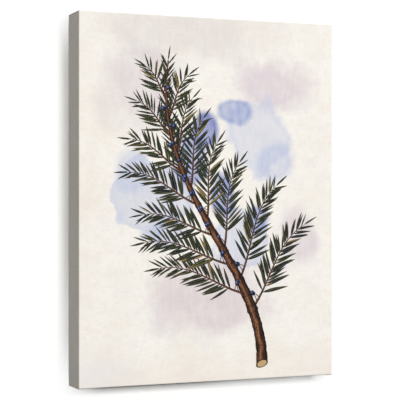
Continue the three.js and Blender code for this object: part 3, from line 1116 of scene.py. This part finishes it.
# The printed picture: a leafy branch, drawn flat and then laid on the front of the cloth.
# Each printed shape is a film of ink that lies just on the cloth, in thin layers.

film = {"thickness": 0.02, "lift": 0.02, "layerStep": 0.008}

branch = {
    "stem": [(62, -184), (64, -70), (-72, 4), (-50, 152)],
    "stemWidth": (13.5, 1.4),
    "stemLeaves": (0.66, 1.0, 0.85),  # from and to where on the stem, and their size
    "cutSize": (1.12, 0.62),  # of the stem's width
    "cutSlant": 70,
    "twigs": 14,
    "firstTwig": 0.19,
    "lastTwig": 0.9,
    "twigLength": (112, 46),
    "twigVary": (0.9, 1.08),
    "twigAngle": (56, 34),
    "twigSway": 5,
    "twigBow": (16, 10),  # degrees by which a twig turns up on its way, and back at its end
    "twigWidth": (2.7, 0.6),
    "twigLeaves": (1.0, 0.82),
    "leafGap": 4.2,
    "leafLength": (32, 18),
    "leafVary": (0.85, 1.12),
    "leafWidth": 0.115,  # of its length
    "leafWiden": (0.85, 1.15),
    "leafAngle": (50, 30),
    "leafSway": 9,
    "leafSlip": 2,
    "leafBends": (0.07, -0.07, 0.0),
    "leafCells": 6,
    "leafFull": (0.8, 0.85),  # powers that put the widest part near the stalk and round it
    "leafReach": 0.45,  # of its length: leaves this near each other lie in different layers
    "straight": 0.2,  # share of the leaves that don't bend
    "tone": (-0.05, 0.3),
    "pale": (0.16, 0.3),  # share of the leaves that are paler, and by how much
    "berries": (1, 2, 2, 3),
    "berryRadius": 2.3,
    "berryVary": (0.9, 1.1),
    "berryHigh": 1.12,  # times its width
    "berryReach": 10.5,
    "berryFrom": (0.08, 0.05),  # where on a twig the first stalk leaves it, and the way to the next
    "berryFan": (60, 34),
    "stalkWidth": (1.0, 0.7),
    "knot": (0.22, 5),  # the stem swells by this share where a twig leaves it, over this length
    "rough": 0.06,  # share by which the stem's edge wanders
    "leafLayers": 18,
    "twigLayers": 4,
    "seed": 5,
}
stemLayer = branch["leafLayers"] + branch["twigLayers"]


def layerHeight(number):
    return film["lift"] + number * film["layerStep"]


def along(curve, t):
    p0, p1, p2, p3 = [Vector((*p, 0)) for p in curve]
    s = 1 - t
    point = p0 * s**3 + p1 * 3 * s * s * t + p2 * 3 * s * t * t + p3 * t**3
    slope = (p1 - p0) * 3 * s * s + (p2 - p1) * 6 * s * t + (p3 - p2) * 3 * t * t
    return point, slope.normalized()


def curveLength(curve):
    points = interpolate_bezier(*[Vector((*p, 0)) for p in curve], 60)
    return sum((b - a).length for a, b in zip(points, points[1:]))


def between(pair, t):
    return pair[0] + (pair[1] - pair[0]) * t


def turned(direction, degrees):
    return Matrix.Rotation(math.radians(degrees), 3, "Z") @ direction


def aimOf(direction):
    return math.atan2(direction.y, direction.x)


# Flat grid along +X, one long and one wide
def addGrid(name, count):
    cells = {"x_subdivisions": count, "y_subdivisions": 2, "size": 1, "location": (0.5, 0, 0)}
    return addShape(name, bpy.ops.mesh.primitive_grid_add, **cells)


def addDisc(name, sides):
    disc = {"vertices": sides, "radius": 1, "fill_type": "TRIFAN", "calc_uvs": True}
    return addShape(name, bpy.ops.mesh.primitive_circle_add, **disc)


# Lanceolate leaf, one long, from a flat grid whose columns are drawn in to a point at both ends
def makeLeafShape(bend):
    cells = branch["leafCells"]
    early, full = branch["leafFull"]
    piece = addGrid("leafModel", cells)
    startEdit(piece)
    for i in range(cells + 1):
        x = i / cells
        pick("VERT", lambda p: near(p.x, x, 1e-4))
        wide = math.sin(math.pi * x**early) ** full if 0 < i < cells else 0.0
        bpy.ops.transform.resize(value=(1, wide, 1), center_override=(x, 0, 0))
        shift(0, bend * 4 * x * (1 - x), 0)
    bpy.ops.mesh.select_all(action="SELECT")
    bpy.ops.mesh.remove_doubles(threshold=1e-5)
    endEdit()
    return piece


# Strip along a curve, tapering, with its pattern running along it. Its width swells at the
# knots and wanders a little. What is done is kept aside, so that it isn't picked again.
def makeStrip(name, curve, widths, layer, cell=5, knots=(), rough=0):
    length = curveLength(curve)
    count = max(4, round(length / cell))
    dice = random.Random(branch["seed"])
    rise, spread = branch["knot"]
    aside = 1000
    piece = addGrid(name, count)
    distance = piece.data.attributes.new("length", "FLOAT", "POINT")
    distance.data.foreach_set("value", [v.co.x * length for v in piece.data.vertices])
    startEdit(piece)
    for i in range(count + 1):
        t = i / count
        point, slope = along(curve, t)
        pick("VERT", lambda p: near(p.x, t, 1e-5))
        wide = between(widths, t) * (1 + rough * dice.uniform(-1, 1))
        for knot in knots:
            wide *= 1 + rise * math.exp(-(((t - knot) * length / spread) ** 2))
        middle = {"center_override": (t, 0, 0)}
        bpy.ops.transform.resize(value=(0, wide, 1), **middle)
        bpy.ops.transform.rotate(value=-aimOf(slope), orient_axis="Z", **middle)
        shift(point.x - t + aside, point.y, layer)
    bpy.ops.mesh.select_all(action="SELECT")
    shift(-aside, 0, 0)
    endEdit()
    return piece


def drawBranch():
    dice = random.Random(branch["seed"])
    models = [makeLeafShape(bend) for bend in branch["leafBends"]]
    leaves, strips, berries, placed, joints = [], [], [], [], []

    # The lowest layer that no leaf it could cross already lies in
    def freeLayer(spot, reach):
        taken = {layer for other, size, layer in placed if (spot - other).length < reach + size}
        layer = min(set(range(len(placed) + 1)) - taken)
        placed.append((spot, reach, layer))
        return layer

    def addLeaf(point, direction, length, tone):
        model = models[0 if dice.random() < 0.5 else 1]
        if dice.random() < branch["straight"]:
            model = models[2]
        wide = length * branch["leafWidth"] * dice.uniform(*branch["leafWiden"])
        layer = freeLayer(point + direction * length / 2, length * branch["leafReach"])
        spot = (point.x, point.y, layerHeight(layer))
        leaf = copyOf(model, "leaf", placeAt(spot, aimOf(direction), "Z", (length, wide, 1)))
        shade = leaf.data.attributes.new("tone", "FLOAT", "POINT")
        shade.data.foreach_set("value", [tone] * len(leaf.data.vertices))
        leaves.append(leaf)

    def addPairs(curve, start, end, scale):
        count = max(2, round(curveLength(curve) * (end - start) / branch["leafGap"]))
        share, paler = branch["pale"]
        slip = branch["leafSlip"]
        for i in range(count):
            t = start + (end - start) * i / count
            point, slope = along(curve, t)
            for side in (-1, 1):
                sway = dice.uniform(-branch["leafSway"], branch["leafSway"])
                angle = between(branch["leafAngle"], t) + sway
                size = between(branch["leafLength"], t**1.5) * scale
                size *= dice.uniform(*branch["leafVary"])
                tone = dice.uniform(*branch["tone"]) + (paler if dice.random() < share else 0)
                spot = point + slope * dice.uniform(-slip, slip)
                addLeaf(spot, turned(slope, side * angle), size, tone)
        point, slope = along(curve, end)
        addLeaf(point, slope, branch["leafLength"][1] * scale * 1.1, 0.2)

    stem = branch["stem"]
    for k in range(branch["twigs"]):
        share = k / (branch["twigs"] - 1)
        t = between((branch["firstTwig"], branch["lastTwig"]), share)
        side = 1 if k % 2 else -1
        point, slope = along(stem, t)
        reach = between(branch["twigLength"], share**1.4) * dice.uniform(*branch["twigVary"])
        sway = dice.uniform(-branch["twigSway"], branch["twigSway"])
        outward = turned(slope, side * (between(branch["twigAngle"], share) + sway))
        up, back = branch["twigBow"]
        later = turned(outward, -side * up)
        tip = (later + turned(outward, side * back)).normalized()
        ways = (outward * reach * 0.35, later * reach * 0.7, tip * reach)
        curve = [(p.x, p.y) for p in (point, *[point + way for way in ways])]
        joints.append(t)
        twigLayer = layerHeight(branch["leafLayers"] + k % branch["twigLayers"])
        strips.append(makeStrip(f"twig{k}", curve, branch["twigWidth"], twigLayer, 7))
        addPairs(curve, 0.2, 1.0, between(branch["twigLeaves"], share))
        (start, step), (first, more) = branch["berryFrom"], branch["berryFan"]
        for n in range(dice.choice(branch["berries"])):
            root = along(curve, start + step * n)[0]
            aim = turned(outward, -side * (first + more * n)) * branch["berryReach"]
            stalk = (root, root + aim * 0.2 + outward, root + aim * 0.5 + outward * 1.5, root + aim)
            stalk = [(p.x, p.y) for p in stalk]
            height = layerHeight(stemLayer + 1 + n)
            strips.append(makeStrip(f"stalk{k}x{n}", stalk, branch["stalkWidth"], height, 2))
            berries.append(root + aim)
    addPairs(stem, *branch["stemLeaves"])
    look = (branch["stemWidth"], layerHeight(stemLayer), 2.5, joints, branch["rough"])
    strips.append(makeStrip("stem", stem, *look))
    print("leaves", len(leaves), "in layers", 1 + max(item[2] for item in placed))
    for model in models:
        bpy.data.objects.remove(model)
    return joinAs("printedLeaves", leaves), joinAs("printedBark", strips), berries


# The stem's foot, cut across at a slant
def makeCut():
    foot, slope = along(branch["stem"], 0)
    size = branch["stemWidth"][0] / 2
    piece = addDisc("printedCut", 28)
    spot = (foot.x, foot.y, layerHeight(stemLayer + 1))
    slant = aimOf(slope) - math.radians(branch["cutSlant"])
    wide, high = branch["cutSize"]
    piece.data.transform(placeAt(spot, slant, "Z", (size * wide, size * high, 1)))
    return piece


def makeBerries(spots):
    model = addDisc("berryModel", 18)
    copies = []
    for i, spot in enumerate(spots):
        wide = branch["berryRadius"] * between(branch["berryVary"], i * 7 % 5 / 4)
        spot = (spot.x, spot.y, layerHeight(stemLayer + 4 + i % 3))
        copies.append(copyOf(model, "berry", placeAt(spot, 0, "Z", (wide, wide * branch["berryHigh"], 1))))
    bpy.data.objects.remove(model)
    return joinAs("printedBerries", copies)


# Lays a flat drawing in millimetres on the front of the cloth and gives the ink its thickness
def layOnFront(piece):
    piece.data.transform(placeAt(printMiddle, math.pi / 2, "X", (mm,) * 3))
    applyModifier(piece, "SOLIDIFY", thickness=film["thickness"] * mm, offset=1)


printedLeaves, printedBark, berrySpots = drawBranch()
printedBerries = makeBerries(berrySpots)
printedCut = makeCut()
for piece, makeInk in (
    (printedLeaves, makeLeafInk),
    (printedBark, makeBarkInk),
    (printedBerries, makeBerryInk),
    (printedCut, makeCutInk),
):
    dress(piece, makeInk())
    layOnFront(piece)
print("picture drawn", len(printedLeaves.data.polygons), "faces of leaves")


# Light, wall and floor

light = {
    "keyAside": 5.3,  # degrees right of the print's normal
    "keyUp": 12.4,
    "keyAway": 4200,
    "keySize": (1500, 700),
    "keyPower": 131,
    "fillBelow": 0.21,
    "fillAbove": 0.435,
    "fillTint": "#fefffa",
    "back": (0.55, 0.75, 0.35),
    "backAway": 2600,
    "backPower": 58,
    "backSize": (900, 900),
    "white": "#ffffff",
    "wall": "#ffffff",
    "wallWide": 6000,
    "wallBehind": 0.2,
    "wallGlow": 0.07,  # the wall is lit brighter than the print, so its white burns out
    # Painted light: soft ovals that mix the wall towards white, so that the shadow beside the print dies
    # away towards its ends, with their place, half size and strength
    "paintedShadowFades": [
        ((-163.5, -212), (60, 200), 0.55),
        ((-160.5, -214), (50, 64), 0.9),
        ((-163.5, 216), (60, 64), 1.0),
        ((134.5, -210), (44, 24), 0.24),
        ((72, -212), (84, 26), 0.22),
    ],
    # Painted shadow where it gathers close behind the edges: soft boxes that darken the wall's colour,
    # with their softness too
    "paintedWallShadows": [
        ((0, 0), (153.5, 173), (6.5, 40), 0.29),
        ((11, -202.7), (142, 5.6), (8, 1.2), 0.55),
        ((6.5, -202.7), (139.5, 5.8), (7, 0.8), 0.75),  # a painted shadow line under the foot
    ],
    # A painted shadow on the wall at the lower right corner: soft oval with place, half size and strength
    "paintedCornerShadow": ((155.5, -203.7), (20, 18), 0.3),
    "floor": "#f2f1ee",
    "floorWide": 40000,
    "floorBelow": 1150,
    "floorGlow": 0.6,
}


def addLamp(name, direction, away, size, power):
    data = bpy.data.lights.new(name, "AREA")
    data.shape = "RECTANGLE"
    data.size, data.size_y = size[0] * mm, size[1] * mm
    data.energy = power
    lamp = bpy.data.objects.new(name, data)
    scene.collection.objects.link(lamp)
    lamp.location = printMiddle + direction.normalized() * away * mm
    lamp.rotation_euler = (-direction).to_track_quat("-Z", "Y").to_euler()
    lamp.visible_camera = False


def addStagePlane(name, size, place, rotation, material):
    stand = {"size": size * mm, "location": place, "rotation": rotation}
    plane = addShape(name, bpy.ops.mesh.primitive_plane_add, **stand)
    dress(plane, material)
    for ray in ("diffuse", "glossy", "transmission", "shadow"):
        setattr(plane, "visible_" + ray, False)


# Plain matt paint that also glows a little, as a brightly lit backdrop does
def makeBackdropPaint(name, colour, glow):
    matt = {"Base Color": colour, "Roughness": 1.0, "Specular IOR Level": 0}
    glowing = {"Emission Color": light["white"], "Emission Strength": glow}
    return newMaterial(name, {**matt, **glowing})


# How far the wall keeps its look under a soft oval that changes it by a given strength
def addSoftOval(add, place, oval):
    spot, size, strength = oval
    kept = [addDistance(add, place, spot, size), 0, 1, 1 - strength, 1]
    return add("MapRange", kept, interpolation_type="SMOOTHSTEP")


# The wall is seen only from its front, so that the back of the picture can be looked at
def makeWallPaint():
    paint = ("whiteWallPaintedShadows", light["wall"], light["wallGlow"])
    material, add, setSurface = makeBackdropPaint(*paint)
    place = add("TexCoord", output="Object")
    spot = add("SeparateXYZ", [place]).node.outputs
    # Painted shadow at the lower right corner darkens the wall's colour
    bright = addSoftOval(add, place, light["paintedCornerShadow"])
    # Painted shadow: each soft box darkens the wall's colour close round the picture
    for (x, z), half, soft, strength in light["paintedWallShadows"]:
        masks = []
        for axis, middle, size, blur in (
            ("X", x * mm, half[0], soft[0]),
            ("Z", printMiddle.z + z * mm, half[1], soft[1]),
        ):
            fade = [addGap(add, spot[axis], middle), (size - blur) * mm, (size + blur) * mm, 1, 0]
            masks.append(add("MapRange", fade, interpolation_type="SMOOTHSTEP"))
        shade = add("MULTIPLY", masks)
        shade = add("MapRange", [shade, 0, 1, 1, 1 - strength])
        bright = add("MULTIPLY", [shade, bright])
    setSurface({"Base Color": add("CombineColor", [bright] * 3)})
    # Painted light: the ovals mix the wall towards glowing white, fading its shadow at the ends
    shadowed = 1.0
    for oval in light["paintedShadowFades"]:
        shadowed = add("MULTIPLY", [addSoftOval(add, place, oval), shadowed])
    nodes = material.node_tree.nodes
    white = add("Emission", [light["white"], 1.0])
    front = add("MixShader", [shadowed, white, nodes["Principled BSDF"].outputs[0]])
    behind = add("NewGeometry", output="Backfacing")
    mixed = add("MixShader", [behind, front, add("BsdfTransparent")])
    setInputs(nodes["Material Output"], {"Surface": mixed})
    return material


# The camera sees white round the stage, and the things are lit by a fill that grows upwards
def lightWorld():
    world = bpy.data.worlds.new("studio")
    scene.world = world
    world.use_nodes = True
    nodes = world.node_tree.nodes
    add = partial(addNode, world.node_tree)
    upward = add("SeparateXYZ", [add("TexCoord", output="Generated")], output="Z")
    level = add("MapRange", [upward, -1, 1, light["fillBelow"], light["fillAbove"]])
    setInputs(nodes["Background"], {"Color": light["fillTint"], "Strength": level})
    seen = add("LightPath", output="Is Camera Ray")
    white = add("Background", [light["white"], 1.0])
    both = add("MixShader", [seen, nodes["Background"].outputs[0], white])
    setInputs(nodes["World Output"], {"Surface": both})


def lightScene():
    aside, up = math.radians(light["keyAside"]), math.radians(light["keyUp"])
    key = Vector((math.sin(aside) * math.cos(up), -math.cos(aside) * math.cos(up), math.sin(up)))
    addLamp("keyLamp", key, light["keyAway"], light["keySize"], light["keyPower"])
    back = Vector(light["back"])
    addLamp("backLamp", back, light["backAway"], light["backSize"], light["backPower"])
    lightWorld()
    upright = (math.pi / 2, 0, 0)
    wallPlace = (0, light["wallBehind"] * mm, printMiddle.z)
    addStagePlane("wall", light["wallWide"], wallPlace, upright, makeWallPaint())
    floorPlace = (0, 0, printMiddle.z - light["floorBelow"] * mm)
    floorPaint = makeBackdropPaint("paleFloorPaint", light["floor"], light["floorGlow"])[0]
    addStagePlane("floor", light["floorWide"], floorPlace, (0, 0, 0), floorPaint)


lightScene()
print("lights set")


# What each piece stands for

for piece, node, slot in (
    (canvasSheet, ["canvas"], "canvas"),
    (barTop, ["bar_top"], "bars"),
    (barBottom, ["bar_bottom"], "bars"),
    (barLeft, ["bar_left"], "bars"),
    (barRight, ["bar_right"], "bars"),
    (staples, stapleNodes, "fastenings"),
    (vNails, vNailNodes, "fastenings"),
    (hangerStrip, ["hanger"], "hanger"),
    (hangerNails, ["hanger_nail_left", "hanger_nail_right"], "fastenings"),
    (bumperLeft, ["bumper_left"], "bumpers"),
    (bumperRight, ["bumper_right"], "bumpers"),
):
    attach(piece, "root")
    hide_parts(*node)
for piece in (printedLeaves, printedBark, printedBerries, printedCut, frayedThreads):
    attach(piece, "root")
